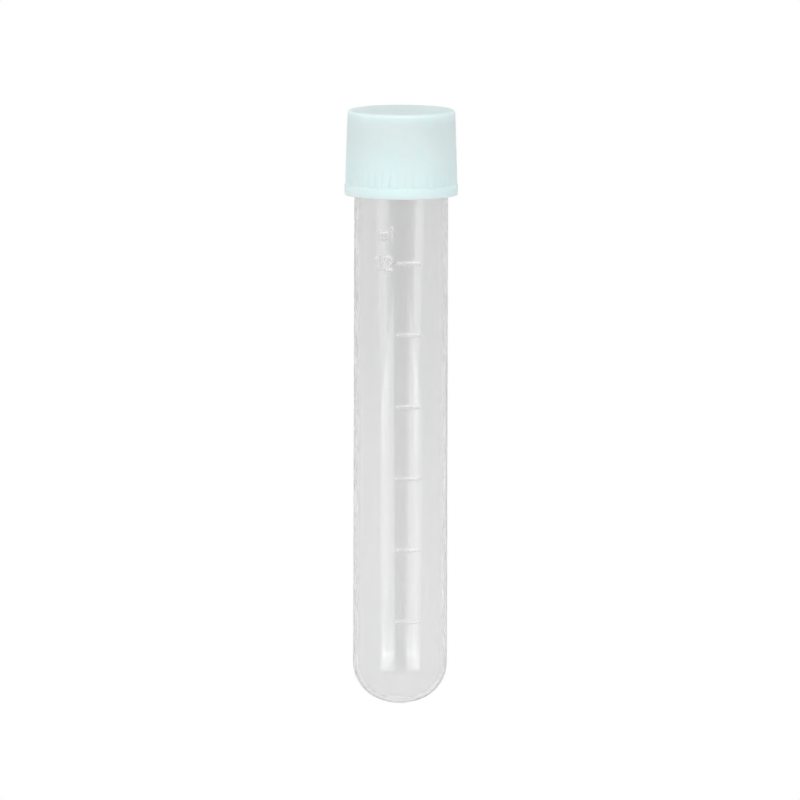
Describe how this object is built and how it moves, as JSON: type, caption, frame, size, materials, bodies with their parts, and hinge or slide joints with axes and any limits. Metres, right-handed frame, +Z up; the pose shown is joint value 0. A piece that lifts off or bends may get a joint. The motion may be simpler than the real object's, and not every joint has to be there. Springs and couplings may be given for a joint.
{
  "type": "test tube",
  "caption": "Round-bottomed translucent plastic test tube with a raised volume scale, a ribbed translucent screw cap on a threaded neck, and a foam sealing liner.",
  "frame": {"origin": "lowest point of the round bottom, on the tube's axis", "axes": "+Z up along the tube's axis to the cap; the raised scale faces -Y; +X to the right of the scale"},
  "size_m": [0.0194, 0.0194, 0.1017],
  "materials": {
    "tube_polypropylene": "translucent natural polypropylene, smooth moulded, slightly milky",
    "cap_polyethylene": "translucent natural polyethylene with a faint icy tint, satin",
    "liner_foam": "white closed-cell polyethylene foam"
  },
  "bodies": {
    "tube": {"tube": "tube_polypropylene"},
    "seal": {"sealing_liner": "liner_foam"},
    "cap": {"screw_cap": "cap_polyethylene"}
  },
  "joints": [
    {"name": "cap_lift", "type": "slide", "parent": "tube", "child": "seal", "axis": [0, 0, 1], "range_m": [0, 0.018]},
    {"name": "cap_turn", "type": "hinge", "parent": "seal", "child": "cap", "pos_m": [0, 0, 0.1], "axis": [0, 0, 1], "range_deg": [0, 2160]}
  ],
  "couplings": [
    {"joint": "cap_lift", "follows": "cap_turn", "m_per_rad": 0.00047746}
  ]
}
